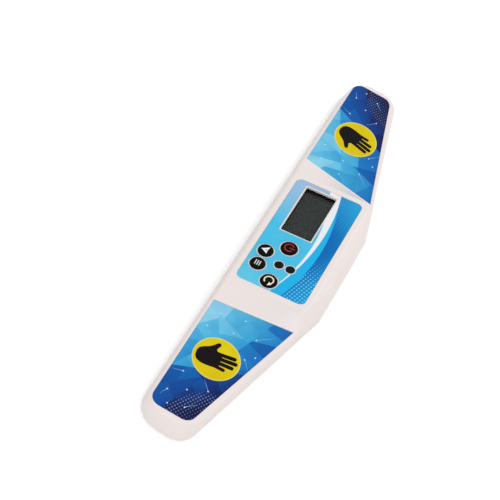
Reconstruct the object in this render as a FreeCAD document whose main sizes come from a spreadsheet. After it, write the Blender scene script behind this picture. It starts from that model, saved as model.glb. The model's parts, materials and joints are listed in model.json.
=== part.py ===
import FreeCAD, Part
import os
import re
import Sketcher
from FreeCAD import Placement, Rotation, Vector

# A two-handed cube timer: a low wedge of white plastic with a touch pad at each end and a raised
# console in the middle. +X is the user's right, +Y points away from the user, +Z is up. The origin
# lies on the surface that the feet stand on, below the middle of the casing.

doc = FreeCAD.newDocument("CubeTimer")

# Casing outline, seen from above, at its lower edge.
length = 286  # casing, end to end
depth = 59.4  # casing, front to back
tipBack = 1.3  # back corner of an end, behind the middle line
backFlat = 26.5  # half width of the straight stretch of the back edge
tipRound = "depth * 0.219"  # corner radius, both corners of an end
# Casing heights, slopes and walls.
footDrop = 1.0  # gap between the casing's lower edge and the table
wingHeight = 15.9  # height of the wing plane over the middle
wingTilt = 5.7  # wing plane, degrees
consoleHeight = 22.84  # height of the console plane over the middle
consoleTilt = 14.5  # console plane, degrees
wallDraft = 7  # lean of the outer walls, degrees
backDraft = 4  # lean of the back walls, degrees
turnHeight = 19.5  # height at which the back walls turn in, below the console
turnDraft = 34  # lean of the back walls above that, degrees
wall = 2.0  # casing wall and roof, and the bottom plate
edgeRound = 1.2  # rounding of the casing's upper edges
seam = 0.15  # gap round the bottom plate
# Console block.
labelWide = 85.4  # console overlay, width
labelFront = "depth / 2 - 4.2"  # console overlay, front edge before the middle
labelBack = "depth / 2 - 13.2"  # console overlay, back edge behind the middle
labelRound = 3.5  # console overlay, corner radius
consoleRim = 3.4  # rim round the console overlay
shoulderDrop = 25  # shoulder behind the console, degrees
slopeFootFront = 61.5  # foot of the console's side slope at the front, half width
slopeFootBack = 52.3  # foot of the console's side slope at the back, half width
# Overlays and the recesses that hold them.
recess = 0.5  # recess of an overlay
film = 0.3  # overlay thickness
padEndInset = 5.0  # pad overlay to the casing's end
padFrontInset = 2.65  # pad overlay to the casing's front edge
padTipInset = 4.05  # pad overlay's outer back corner before the casing's
padBackInset = 3.35  # pad overlay's inner back corner before the casing's back edge
padInnerFront = 62.0  # pad overlay, inner front corner, half width
padInnerBack = 54.9  # pad overlay, inner back corner, half width
padRound = 6  # pad overlay, radius of the outer corners
# Display window, in the console's plane.
windowLeft = -39.6  # display opening, left edge
windowRight = -1.8  # display opening, right edge
windowFront = -18.2  # display opening, front edge
windowBack = 0.9  # display opening, back edge
windowSink = 0.9  # window below the console plane
# Keys and lamps, in the console's plane.
powerX = 9.3  # power key
powerY = -7.5  # power key
resetX = 36.5  # reset key
resetY = -7.5  # reset key
downX = 17.55  # down key
downY = -18.4  # down key
modeX = 28.25  # mode key
modeY = -18.4  # mode key
keyRound = 4.7  # power and reset key caps, radius
smallKeyRound = 4.3  # down and mode key caps, radius
keyProud = 0.6  # key cap above the console plane
keyTravel = 0.4  # key travel
keyGap = 0.3  # gap round a key cap
readyX = 23.0  # ready lamp
readyY = -7.5  # ready lamp
runX = 22.95  # run lamp
runY = -0.5  # run lamp
lampRound = 2.66  # lamp lens, radius
# Circuit board, below the console's plane.
boardDrop = 7.5  # board's upper face below the console plane
boardThick = 1.6  # board thickness
boardHalf = 47.9  # board, half width
boardFront = -23.5  # board, front edge
boardBack = 8.5  # board, back edge
postX = "boardHalf - 2.3"  # board posts, half spacing
postFront = -20.5  # front board posts
postBack = 1.95  # back board posts
# Cells and their bay.
cellRound = 5.25  # cell, radius
cellLong = 43.7  # cell, length without its nub
nub = 0.8  # cell nub, length
cellFrontY = "cellBackY - 2 * bayRound + 0.1"  # front cell's axis
cellBackY = "depth / 2 - 11.1"  # back cell's axis
cellZ = 8.3  # cell axes above the table
bayRound = 5.5  # bay scallop, radius
bayHalf = "(cellLong + nub) / 2 + 2.75"  # bay, half length inside
bayWall = 0.9  # bay wall
coverThick = 1.5  # battery cover
coverGap = 0.3  # gap round the battery cover
# Case screws and feet.
endScrewX = "length / 2 - 9"  # case screws in the ends
endScrewY = "-depth * 0.202"  # case screws in the ends
frontScrewX = "slopeFootFront + 3"  # front case screws
frontScrewY = "-depth / 2 + 6.9"  # front case screws
backScrewX = "slopeFootBack + 8.2"  # back case screws
backScrewY = "depth / 2 - 16.2"  # back case screws
screwRound = 1.2  # case screw shank, radius
footRound = 4  # rubber foot, radius
endFootX = "length / 2 - 13"  # feet under the ends
endFootY = "-depth * 0.076"  # feet under the ends
frontFootX = "slopeFootFront + 14.5"  # front feet
frontFootY = "-depth / 2 + 9.7"  # front feet
backFootX = "bayHalf + 15"  # back feet
backFootY = "depth / 2 - 10.7"  # back feet

# Every number above is a cell of the document's sheet. The names that hold text are worked out from those
# cells, and all sketches and features are bound to them.
sheet = doc.addObject("Spreadsheet::Sheet", "Sizes")
aliases = [name for name, number in list(globals().items()) if type(number) in (int, float)]
for row, alias in enumerate(aliases, 1):
    sheet.set("A%d" % row, alias)
    sheet.set("B%d" % row, str(globals()[alias]))
    sheet.setAlias("B%d" % row, alias)


def formula(text):
    """The text as a FreeCAD expression: names of cells get their sheet, worked-out names their own text."""
    def expand(found):
        name = found.group(0)
        if name in aliases:
            return "Sizes." + name
        if isinstance(globals().get(name), str):
            return "(" + formula(globals()[name]) + ")"
        return name
    return re.sub(r"[A-Za-z_]\w*", expand, text)


def value(text):
    return float(sheet.evalExpression(formula(text)))


def tan(alias):
    return "tan(%s * 1 deg)" % alias


def cos(alias):
    return "cos(%s * 1 deg)" % alias


def body(label):
    made = doc.addObject("PartDesign::Body", label)
    made.Label = label
    made.AllowCompound = True
    return made


def sketch(owner, role, name, lift="0"):
    made = owner.newObject("Sketcher::SketchObject", name)
    plane = [part for part in owner.Origin.OriginFeatures if part.Role == role][0]
    made.AttachmentSupport = (plane, [""])
    made.MapMode = "FlatFace"
    made.setExpression("AttachmentOffset.Base.z", formula(lift))
    return made


def bind(target, kind, geometry, point, text):
    index = target.addConstraint(Sketcher.Constraint(kind, -1, 1, geometry, point, value(text)))
    target.setExpression("Constraints[%d]" % index, formula(text))


def polygon(target, corners):
    first = target.GeometryCount
    spots = [Vector(value(x), value(y), 0) for x, y in corners]
    count = len(spots)
    for i in range(count):
        target.addGeometry(Part.LineSegment(spots[i], spots[(i + 1) % count]))
    for i in range(count):
        target.addConstraint(Sketcher.Constraint("Coincident", first + i, 2, first + (i + 1) % count, 1))
    for i, (x, y) in enumerate(corners):
        bind(target, "DistanceX", first + i, 1, x)
        bind(target, "DistanceY", first + i, 1, y)


def circle(target, x, y, radius):
    index = target.addGeometry(Part.Circle(Vector(value(x), value(y), 0), Vector(0, 0, 1), value(radius)))
    bind(target, "DistanceX", index, 3, x)
    bind(target, "DistanceY", index, 3, y)
    round_ = target.addConstraint(Sketcher.Constraint("Radius", index, value(radius)))
    target.setExpression("Constraints[%d]" % round_, formula(radius))


def pad(owner, profile, length, down=False, both=False):
    made = owner.newObject("PartDesign::Pad", profile.Name + "Pad")
    made.Profile = profile
    made.setExpression("Length", formula(length))
    made.Reversed = down
    made.Midplane = both
    return made


def roundEdges(owner, name, radius, chosen):
    doc.recompute()
    before = owner.Tip
    made = owner.newObject("PartDesign::Fillet", name)
    names = ["Edge%d" % (i + 1) for i, edge in enumerate(before.Shape.Edges) if chosen(edge)]
    made.Base = (before, names)
    made.setExpression("Radius", formula(radius))
    return made


def ends(edge):
    return edge.Vertexes[0].Point, edge.Vertexes[-1].Point


# ---- casing form ----------------------------------------------------------------------------

slant = "((depth / 2 - tipBack) / (length / 2 - backFlat))"
slantAngle = "atan(%s)" % slant


def outline(inset):
    """Corners of the casing's lower outline, all its sides moved inwards by the inset."""
    endX = "(length / 2 - (%s))" % inset
    frontY = "(-depth / 2 + (%s))" % inset
    backY = "(depth / 2 - (%s))" % inset
    drop = "((%s) / cos(%s))" % (inset, slantAngle)
    tipY = "(tipBack - %s + (%s) * %s)" % (drop, inset, slant)
    turnX = "(length / 2 - (%s - tipBack + %s) / %s)" % (backY, drop, slant)
    right = [(endX, frontY), (endX, tipY), (turnX, backY)]
    left = [("-" + x, y) for x, y in reversed(right)]
    return right + left


def draft(owner, name, angle, chosen):
    """Leans the chosen side faces inwards as they rise from the owner's lowest face."""
    doc.recompute()
    before = owner.Tip
    faces = before.Shape.Faces
    made = owner.newObject("PartDesign::Draft", name)
    made.Base = (before, ["Face%d" % (i + 1) for i, face in enumerate(faces) if chosen(face.normalAt(0, 0))])
    lowest = min(range(len(faces)), key=lambda i: faces[i].BoundBox.ZMax)
    made.NeutralPlane = (before, ["Face%d" % (lowest + 1)])
    made.setExpression("Angle", formula(angle))
    return made


def leaningPrism(name, inset, height, backLean):
    """What stands on the casing's outline, its sides leaning inwards as they rise."""
    made = body(name)
    low = sketch(made, "XY_Plane", name + "Low", "footDrop")
    polygon(low, outline(inset))
    pad(made, low, height)
    draft(made, name + "Lean", "wallDraft", lambda n: abs(n.z) < 0.5 and n.y < 0.5)
    draft(made, name + "BackLean", backLean, lambda n: abs(n.z) < 0.5 and n.y > 0.5)
    return made


def walls(name, inset, height="consoleHeight + 6"):
    """What the outer walls enclose, round at the ends, or a slice of it."""
    made = leaningPrism(name, inset, height, "backDraft")
    tipX = value("length / 2 - 15")

    def tip(edge):
        return abs(ends(edge)[0].z - ends(edge)[1].z) > 1 and abs(edge.CenterOfMass.x) > tipX

    roundEdges(made, name + "Tips", "tipRound - (%s)" % inset, tip)
    return made


def wingPlane(y, inset="0"):
    return "(wingHeight + (%s) * %s - (%s) / %s)" % (y, tan("wingTilt"), inset, cos("wingTilt"))


def consolePlane(y, inset="0"):
    return "(consoleHeight + (%s) * %s - (%s) / %s)" % (y, tan("consoleTilt"), inset, cos("consoleTilt"))


def slopeFoot(y):
    return "(slopeFootFront - (slopeFootFront - slopeFootBack) * ((%s) / depth + 0.5))" % y


rimBack = "((labelBack + consoleRim) * %s)" % cos("consoleTilt")


def roof(name, inset):
    """What lies below the wing plane and below the console's top, shoulder and side slopes."""
    slab = body(name + "Wings")
    side = sketch(slab, "YZ_Plane", name + "Side")
    polygon(side, [("-depth", "-depth"), ("depth", "-depth"),
                   ("depth", wingPlane("depth", inset)), ("-depth", wingPlane("-depth", inset))])
    pad(slab, side, "length * 1.2", both=True)

    block = body(name + "Console")
    sections = []
    for place, top in (("-depth * 0.6", consolePlane("-depth * 0.6", inset)),
                       (rimBack, consolePlane(rimBack, inset)),
                       ("depth * 0.6", "(%s - (depth * 0.6 - %s) * %s)"
                        % (consolePlane(rimBack, inset), rimBack, tan("shoulderDrop")))):
        # The XZ plane's own normal points to -Y.
        section = sketch(block, "XZ_Plane", name + "Section%d" % len(sections), "-(%s)" % place)
        foot = "(%s - (%s) / 2)" % (slopeFoot(place), inset)
        crest = "(labelWide / 2 + consoleRim - (%s) / 2)" % inset
        low = wingPlane(place, inset)
        polygon(section, [(foot, "-depth"), (foot, low), (crest, top),
                          ("-" + crest, top), ("-" + foot, low), ("-" + foot, "-depth")])
        sections.append(section)
    loft = block.newObject("PartDesign::AdditiveLoft", name + "Loft")
    loft.Profile = sections[0]
    loft.Sections = sections[1:]
    loft.Ruled = True
    made = doc.addObject("Part::Fuse", name)
    made.Base = slab
    made.Tool = block
    made.Refine = True
    return made


def form(name, inset):
    # The steeper prism's back meets the walls at the height where they turn in.
    start = "((%s) / %s - (turnHeight - footDrop) * (%s - %s))" % (
        inset, cos("turnDraft"), tan("turnDraft"), tan("backDraft"))
    upper = doc.addObject("Part::Common", name + "Upper")
    upper.Base = leaningPrism(name + "Turn", start, "consoleHeight + 6", "turnDraft")
    upper.Tool = roof(name + "Roof", inset)
    made = doc.addObject("Part::Common", name)
    made.Base = walls(name + "Walls", inset)
    made.Tool = upper
    made.Refine = True
    return made


def rect(left, front, right, back):
    return [(left, front), (right, front), (right, back), (left, back)]


def block(owner, name, low, high, corners):
    """A pad between two heights over the owner's XY plane."""
    profile = sketch(owner, "XY_Plane", name, low)
    polygon(profile, corners)
    return pad(owner, profile, "(%s) - (%s)" % (high, low))


def rods(owner, name, low, high, spots):
    """Round posts at the spots (x, y, radius) between two heights."""
    profile = sketch(owner, "XY_Plane", name, low)
    for x, y, radius in spots:
        circle(profile, x, y, radius)
    return pad(owner, profile, "(%s) - (%s)" % (high, low))


def pocket(owner, name, low, high, corners=None, spots=None):
    """Takes away what lies between two heights inside the corners or the round spots."""
    doc.recompute()
    before = owner.Tip.Shape.Volume
    profile = sketch(owner, "XY_Plane", name, high)
    if corners:
        polygon(profile, corners)
    for x, y, radius in spots or []:
        circle(profile, x, y, radius)
    made = owner.newObject("PartDesign::Pocket", name + "Pocket")
    made.Profile = profile
    made.setExpression("Length", formula("(%s) - (%s)" % (high, low)))
    doc.recompute()
    if owner.Tip.Shape.Volume > before - 0.001:
        print("POCKET CUTS NOTHING", owner.Label, name)
    return made


def lean(made, height, tilt):
    """Places a piece that is drawn in a tilted plane over the middle of the casing."""
    made.Placement = Placement(Vector(), Rotation(Vector(1, 0, 0), 10))
    made.setExpression("Placement.Base.z", formula(height))
    made.setExpression("Placement.Rotation.Angle", formula(tilt))
    return made


def onConsole(label):
    return lean(body(label), "consoleHeight", "consoleTilt")


def onWings(label):
    return lean(body(label), "wingHeight", "wingTilt")


def upright(edge):
    a, b = ends(edge)
    return abs(a.z - b.z) > 0.05 and abs(a.x - b.x) < 0.001 and abs(a.y - b.y) < 0.001


def level(edge, z):
    a, b = ends(edge)
    return abs(a.z - z) < 0.001 and abs(b.z - z) < 0.001


def boolean(kind, label, base, tool):
    made = doc.addObject("Part::" + kind, label)
    made.Label = label
    made.Base = base
    made.Tool = tool
    return made


doc.recompute()

# ---- top shell ------------------------------------------------------------------------------

outer = form("outer", "0")
inner = form("inner", "wall")
doc.recompute()


def wallEdge(edge):
    """The walls' upper edges and bends, the console's crests and its back line."""
    middle = edge.CenterOfMass
    a, b = ends(edge)
    if min(a.z, b.z) < value("footDrop + 0.5"):
        return abs(a.z - b.z) > 1 and abs(middle.x) < value("slopeFootBack")
    crest = value("labelWide / 2 + consoleRim")
    if abs(abs(a.x) - crest) < 0.01 and abs(abs(b.x) - crest) < 0.01:
        return True
    if abs(a.y - value(rimBack)) < 0.01 and abs(b.y - value(rimBack)) < 0.01 and abs(middle.x) < 1:
        return True
    return middle.z > 3 and any(edge.isPartner(other) for face in sideFaces for other in face.Edges)


def leaning(face):
    """Whether a face is part of the walls, which are steeper than the console's slopes."""
    u, v = face.Surface.parameter(face.CenterOfMass)
    return abs(face.normalAt(u, v).z) < 0.6


sideFaces = [face for face in outer.Shape.Faces if leaning(face)]
rounded = doc.addObject("Part::Fillet", "casingRounded")
rounded.Base = outer
radius = value("edgeRound")
rounded.Edges = [(i + 1, radius, radius) for i, edge in enumerate(outer.Shape.Edges) if wallEdge(edge)]
hollow = boolean("Cut", "casingHollow", rounded, inner)


def padCorners(side, grow):
    """The pad overlay's corners in the wing plane, grown on every side."""
    backY = "(tipBack + %s * (length / 2 - padInnerBack) - padBackInset)" % slant
    outerX = "(length / 2 - padEndInset + %s)" % grow
    frontY = "(-depth / 2 + padFrontInset - %s)" % grow
    corners = [("(padInnerFront - 0.86 * %s)" % grow, frontY),
               (outerX, frontY),
               (outerX, "(tipBack - padTipInset + 0.77 * %s)" % grow),
               ("(padInnerBack - 1.22 * %s)" % grow, "(%s + 1.356 * %s)" % (backY, grow))]
    return [(side + x, y) for x, y in corners]


def roundPads(owner, grow):
    roundEdges(owner, owner.Name + "Corners", "padRound + %s" % grow,
               lambda e: upright(e) and abs(e.CenterOfMass.x) > value("length / 2 - padEndInset - 2"))


def labelCorners(grow):
    halfWide = "(labelWide / 2 + %s)" % grow
    return rect("-" + halfWide, "(-labelFront - %s)" % grow, halfWide, "(labelBack + %s)" % grow)


def windowCorners(grow):
    return rect("(windowLeft - %s)" % grow, "(windowFront - %s)" % grow,
                "(windowRight + %s)" % grow, "(windowBack + %s)" % grow)


keys = (("power", "keyRound"), ("down", "smallKeyRound"), ("mode", "smallKeyRound"), ("reset", "keyRound"))
lamps = ("ready", "run")


def consoleSpots(grow, lampGrow):
    spots = [(key + "X", key + "Y", "(%s + %s)" % (radius, grow)) for key, radius in keys]
    return spots + [(lamp + "X", lamp + "Y", "(lampRound + %s)" % lampGrow) for lamp in lamps]


padRecesses = []
for side, name in (("", "Right"), ("-", "Left")):
    padRecess = onWings("padRecess" + name)
    block(padRecess, "padRecess" + name + "Sketch", "-recess", "5", padCorners(side, "0.15"))
    roundPads(padRecess, "0.15")
    padRecesses.append(padRecess)
wingCuts = boolean("Fuse", "wingCuts", *padRecesses)

consoleRecess = onConsole("consoleRecess")
block(consoleRecess, "consoleRecessSketch", "-recess", "5", labelCorners("0.15"))
roundEdges(consoleRecess, "consoleRecessCorners", "labelRound + 0.15", upright)
consoleHoles = onConsole("consoleHoles")
rods(consoleHoles, "consoleHolesSketch", "-4", "5", consoleSpots("keyGap", "0.12"))
windowHole = onConsole("windowHole")
block(windowHole, "windowHoleSketch", "-4", "5", windowCorners("0"))
roundEdges(windowHole, "windowHoleCorners", "0.8", upright)

cutTools = doc.addObject("Part::MultiFuse", "casingCuts")
cutTools.Shapes = [wingCuts, consoleRecess, consoleHoles, windowHole]
shell = boolean("Cut", "casingCut", hollow, cutTools)

# Bosses for the case screws hang from the roof; posts for the board stand square to the console.
screwSpots = [(sign + spot + "X", spot + "Y") for spot in ("endScrew", "frontScrew", "backScrew")
              for sign in ("", "-")]
bossLow = "(footDrop + wall + 1.7)"
bosses = []
for number, (x, y) in enumerate(screwSpots):
    boss = body("boss%d" % number)
    rods(boss, "bossSketch%d" % number, bossLow, wingPlane(y, "wall * 0.6"), [(x, y, "3")])
    pocket(boss, "bossHole%d" % number, bossLow, "(%s + 6.5)" % bossLow, spots=[(x, y, "(screwRound + 0.05)")])
    bosses.append(boss)
postSpots = [(sign + "postX", y) for sign in ("", "-") for y in ("postFront", "postBack")]
posts = onConsole("posts")
rods(posts, "postsSketch", "-boardDrop", "-(wall - 0.4)", [(x, y, "2.2") for x, y in postSpots])
pocket(posts, "postHoles", "-boardDrop", "-(boardDrop - 4.5)", spots=[(x, y, "0.85") for x, y in postSpots])
topShell = doc.addObject("Part::MultiFuse", "top_shell")
topShell.Shapes = [shell, posts] + bosses

# ---- bottom shell ---------------------------------------------------------------------------

bottom = walls("bottomWalls", "wall + seam", "wall")
bayFront = "(cellFrontY - bayRound)"
bayBack = "(cellBackY + bayRound)"
bayTop = "(cellZ + bayRound)"
plateTop = "(footDrop + wall)"


def barrels(owner, name, grow, length, cutting):
    """The two scallops over the cells, as pads or pockets along X."""
    for which, y in (("Front", "cellFrontY"), ("Back", "cellBackY")):
        profile = sketch(owner, "YZ_Plane", name + which)
        circle(profile, y, "cellZ", "bayRound + %s" % grow)
        if cutting:
            made = owner.newObject("PartDesign::Pocket", name + which + "Pocket")
            made.Profile = profile
            made.Midplane = True
            made.setExpression("Length", formula(length))
        else:
            pad(owner, profile, length, both=True)


bayLong = "(bayHalf * 2)"
bay = body("bay")
block(bay, "bayBlock", "(%s - 0.5)" % plateTop, "cellZ",
      rect("-(bayHalf + 1.2)", "(%s - bayWall)" % bayFront, "(bayHalf + 1.2)", "(%s + bayWall)" % bayBack))
barrels(bay, "bayShell", "bayWall", "(%s + 2.4)" % bayLong, False)
rods(bay, "screwPosts", "(%s - 0.5)" % plateTop, bossLow, [(x, y, "3.5") for x, y in screwSpots])

nubEnd = "(bayHalf - 1.4)"
flatEnd = "(cellLong + nub - %s)" % nubEnd
bottomCuts = body("bottomCuts")
block(bottomCuts, "opening", "0", "(%s + 0.01)" % plateTop,
      rect("-(bayHalf + coverGap)", "(%s - coverGap)" % bayFront, "(bayHalf + coverGap)", "(%s + coverGap)" % bayBack))
roundEdges(bottomCuts, "openingCorners", "1.5 + coverGap", upright)
block(bottomCuts, "bayInside", "footDrop", "cellZ", rect("-bayHalf", bayFront, "bayHalf", bayBack))
barrels(bottomCuts, "bayScallop", "0", bayLong, False)
for sign in ("", "-"):
    block(bottomCuts, "tabNotch" + ("B" if sign else "A"), plateTop, "(%s + 2)" % plateTop,
          rect(sign + "18.3", "(%s - bayWall - 0.1)" % bayFront, sign + "11.7", "(%s + 0.1)" % bayFront))
for which, y in (("Front", "cellFrontY"), ("Back", "cellBackY")):
    block(bottomCuts, "tagSlot" + which, "(cellZ - 0.5)", "(cellZ + 0.5)",
          rect("(bayHalf - 0.1)", "(%s - 1.5)" % y, "(bayHalf + 1.3)", "(%s + 1.5)" % y))
rods(bottomCuts, "screwHoles", "0", "(%s + 0.1)" % bossLow, [(x, y, "(screwRound + 0.2)") for x, y in screwSpots])
rods(bottomCuts, "screwHeadWells", "0", "(%s + 0.2)" % plateTop, [(x, y, "2.6") for x, y in screwSpots])
footSpots = [(sign + spot + "X", spot + "Y") for spot in ("endFoot", "frontFoot", "backFoot")
             for sign in ("", "-")]
rods(bottomCuts, "footWells", "0", "(footDrop + 1)", [(x, y, "(footRound + 0.15)") for x, y in footSpots])
plateWithBay = boolean("Fuse", "plateWithBay", bottom, bay)
bottomShell = boolean("Cut", "bottom_shell", plateWithBay, bottomCuts)

# ---- battery cover --------------------------------------------------------------------------

cover = body("battery_cover")
coverTop = "(footDrop + coverThick)"
block(cover, "coverPlate", "footDrop", coverTop, rect("-bayHalf", bayFront, "bayHalf", bayBack))
roundEdges(cover, "coverCorners", "1.5", upright)
for sign in ("", "-"):
    name = "B" if sign else "A"
    block(cover, "tabRoot" + name, "(%s - 0.5)" % coverTop, "(%s + 1.1)" % plateTop,
          rect(sign + "18", bayFront, sign + "12", "(%s + 1)" % bayFront))
    block(cover, "tab" + name, "(%s + 0.2)" % plateTop, "(%s + 1.1)" % plateTop,
          rect(sign + "18", "(%s - 2)" % bayFront, sign + "12", "(%s + 0.5)" % bayFront))
block(cover, "latch", "(%s - 0.5)" % coverTop, "(%s + 1.2)" % plateTop,
      rect("-5", "(%s - 1.3)" % bayBack, "5", "(%s - 0.5)" % bayBack))
block(cover, "latchNub", "(%s + 0.3)" % plateTop, "(%s + 0.9)" % plateTop,
      rect("-4", "(%s - 0.6)" % bayBack, "4", "(%s - 0.2)" % bayBack))
for number in range(3):
    near = "(%s - %.1f)" % (bayBack, 3.4 + 1.6 * number)
    pocket(cover, "grip%d" % number, "footDrop - 1", "footDrop + 0.4", rect("-6", near, "6", "(%s + 0.8)" % near))

# ---- cells and their contacts ---------------------------------------------------------------

for label, y, sign in (("front_cell", "cellFrontY", ""), ("back_cell", "cellBackY", "-")):
    cell = body(label)
    for name, start, length, radius in (("Can", "-%s" % flatEnd, "cellLong", "cellRound"),
                                        ("Nub", "(%s - nub)" % nubEnd, "nub", "1.9")):
        profile = sketch(cell, "YZ_Plane", label + name, sign + "(%s)" % start)
        circle(profile, y, "cellZ", radius)
        pad(cell, profile, length, down=bool(sign))
    roundEdges(cell, label + "Rims", "0.35", lambda e: len(e.Vertexes) == 1 and e.BoundBox.YLength > 8)

for label, side, positives, negatives in (("bridge_contact", -1, ["cellBackY"], ["cellFrontY"]),
                                          ("positive_contact", 1, ["cellFrontY"], []),
                                          ("negative_contact", 1, [], ["cellBackY"])):
    # Drawn from the bay's end wall towards the cells: Z runs along the cells, Y runs up.
    contact = body(label)
    turn = Rotation(Vector(0, -side, 0), Vector(0, 0, 1), Vector(-side, 0, 0), "ZXY")
    contact.Placement = Placement(Vector(), turn)
    contact.setExpression("Placement.Base.x", formula("%d * (bayHalf - 0.05)" % side))
    over = "-" if side > 0 else ""
    spots = [over + y for y in positives + negatives]
    for number, spot in enumerate(spots):
        block(contact, label + "Plate%d" % number, "0", "0.4",
              rect("(%s - 3.6)" % spot, "(cellZ - 3.6)", "(%s + 3.6)" % spot, "(cellZ + 3.6)"))
    if side < 0:
        block(contact, label + "Link", "0", "0.4", rect("cellFrontY", "(cellZ - 3.6)", "cellBackY", "(cellZ + 0.4)"))
    for y in positives:
        rods(contact, label + "Bump", "0.3", "(bayHalf - 0.07 - %s)" % nubEnd, [(over + y, "cellZ", "1.8")])
    if side > 0:
        block(contact, label + "Tag", "-2.9", "0.1", rect("(%s - 1)" % spots[0], "(cellZ - 0.2)",
                                                         "(%s + 1)" % spots[0], "(cellZ + 0.2)"))
    for y in negatives:
        wire = sketch(contact, "XZ_Plane", label + "Wire", "-(cellZ)")
        circle(wire, "(%s%s + 3.1)" % (over, y), "0.6", "0.35")
        axis = wire.addGeometry(Part.LineSegment(Vector(value(over + y), 0, 0), Vector(value(over + y), 5, 0)), True)
        bind(wire, "DistanceX", axis, 1, over + y)
        bind(wire, "DistanceX", axis, 2, over + y)
        bind(wire, "DistanceY", axis, 1, "0")
        bind(wire, "DistanceY", axis, 2, "5")
        coil = contact.newObject("PartDesign::AdditiveHelix", label + "Coil")
        coil.Profile = wire
        coil.ReferenceAxis = (wire, ["Axis0"])
        coil.Mode = 0
        coil.setExpression("Height", formula("bayHalf - 0.07 - %s - 0.95" % flatEnd))
        coil.setExpression("Pitch", "Height / 2.5")
        coil.Angle = -14

# ---- leads ----------------------------------------------------------------------------------


def boardUnder(y):
    """Height of the board's lower face at y."""
    return "(consoleHeight + (%s) * %s - (boardDrop + boardThick) / %s)" % (y, tan("consoleTilt"), cos("consoleTilt"))


def lead(label, role, lift, spots, profileRole, profileLift, profileSpot):
    """A wire along the spots of a flat path."""
    made = body(label)
    path = sketch(made, role, label + "Path", lift)
    count = len(spots) - 1
    for (x1, y1), (x2, y2) in zip(spots, spots[1:]):
        path.addGeometry(Part.LineSegment(Vector(value(x1), value(y1), 0), Vector(value(x2), value(y2), 0)))
    for i in range(count - 1):
        path.addConstraint(Sketcher.Constraint("Coincident", i, 2, i + 1, 1))
    for i, (x, y) in enumerate(spots):
        line, end = (i, 1) if i < count else (count - 1, 2)
        bind(path, "DistanceX", line, end, x)
        bind(path, "DistanceY", line, end, y)
    section = sketch(made, profileRole, label + "Section", profileLift)
    circle(section, profileSpot[0], profileSpot[1], "0.6")
    pipe = made.newObject("PartDesign::AdditivePipe", label + "Pipe")
    pipe.Profile = section
    pipe.Spine = (path, ["Edge%d" % (i + 1) for i in range(count)])
    pipe.Transition = "Round corner"
    return made


leadX = "(bayHalf + 2.3)"
lead("positive_lead", "YZ_Plane", leadX,
     [("cellFrontY", "(cellZ + 0.2)"), ("cellFrontY", "(%s - 0.05)" % boardUnder("cellFrontY - 0.6"))],
     "XY_Plane", "(cellZ + 0.2)", (leadX, "cellFrontY"))
lead("negative_lead", "YZ_Plane", leadX,
     [("cellBackY", "(cellZ + 0.2)"), ("cellBackY", "(cellZ + 4)"), ("(cellFrontY + 1.8)", "(cellZ + 4)"),
      ("(cellFrontY + 1.8)", "(%s - 0.05)" % boardUnder("cellFrontY + 1.2"))],
     "XY_Plane", "(cellZ + 0.2)", (leadX, "cellBackY"))

touchDrop = "(wall + 0.45)"
for side, name in (("", "right"), ("-", "left")):
    under = "(%s - 0.65)" % wingPlane("-5", touchDrop)
    lead(name + "_touch_lead", "XZ_Plane", "5",
         [(side + "72", under), (side + "66", under), (side + "58", "10.4"), (side + "(boardHalf - 2)", "10.4"),
          (side + "(boardHalf - 2)", "(%s - 0.05)" % boardUnder("-5.6"))],
         "YZ_Plane", side + "72", ("-5", under))
    plate = onWings(name + "_touch_plate")
    block(plate, name + "TouchPlate", "-" + touchDrop, "-(wall + 0.05)",
          [(side + "69", "-21"), (side + "127", "-21"), (side + "127", "-8"), (side + "69", "7")])

# ---- overlays -------------------------------------------------------------------------------

filmTop = "(film - recess)"
for side, name in (("", "right"), ("-", "left")):
    overlay = onWings(name + "_pad_overlay")
    block(overlay, name + "PadFilm", "-recess", filmTop, padCorners(side, "0"))
    roundPads(overlay, "0")
label = onConsole("console_overlay")
block(label, "labelFilm", "-recess", filmTop, labelCorners("0"))
roundEdges(label, "labelCorners", "labelRound", upright)
pocket(label, "labelWindow", "-1", "0", windowCorners("0.8"))
pocket(label, "labelHoles", "-1", "0", spots=consoleSpots("1.1", "0.8"))

# ---- display --------------------------------------------------------------------------------

window = onConsole("display_window")
block(window, "windowPane", "-(wall + 1)", "-windowSink", windowCorners("-0.2"))
roundEdges(window, "windowPaneCorners", "0.8", upright)
block(window, "windowFlange", "-(wall + 1)", "-wall", windowCorners("1.5"))

frame = onConsole("lcd_frame")
block(frame, "frameBlock", "-boardDrop", "-(wall + 1.05)",
      rect("(windowLeft - 3.4)", "(windowFront - 3.75)", "(windowRight + 3.4)", "(windowBack + 3.75)"))
pocket(frame, "frameWell", "-boardDrop", "-(wall + 1.4)",
       rect("(windowLeft - 2)", "(windowFront - 2.35)", "(windowRight + 2)", "(windowBack + 2.35)"))
pocket(frame, "frameMouth", "-(wall + 1.6)", "-(wall + 1)", windowCorners("0.4"))
block(frame, "frameLedge", "-boardDrop", "-(wall + 3.65)",
      rect("(windowLeft - 2.4)", "(windowFront - 2.8)", "(windowRight + 2.4)", "(windowFront - 1.2)"))
frameCorners = (("(windowLeft - 2.7)", "(windowFront - 3.05)"), ("(windowRight + 2.7)", "(windowBack + 3.05)"))
rods(frame, "framePegs", "-(boardDrop + 1.4)", "-(boardDrop - 0.2)", [(x, y, "0.5") for x, y in frameCorners])

for label, high, back in (("lcd_front_glass", "1.45", "(windowBack + 2.15)"),
                          ("lcd_rear_glass", "2.55", "(windowBack - 0.55)")):
    glass = onConsole(label)
    block(glass, label + "Pane", "-(wall + %s + 1.05)" % high, "-(wall + %s)" % high,
          rect("(windowLeft - 1.8)", "(windowFront - 1.1)", "(windowRight + 1.8)", back))
strip = onConsole("contact_strip")
block(strip, "stripBlock", "-boardDrop", "-(wall + 2.55)",
      rect("(windowLeft + 1)", "(windowBack - 0.2)", "(windowRight - 1)", "(windowBack + 1.8)"))

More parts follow.
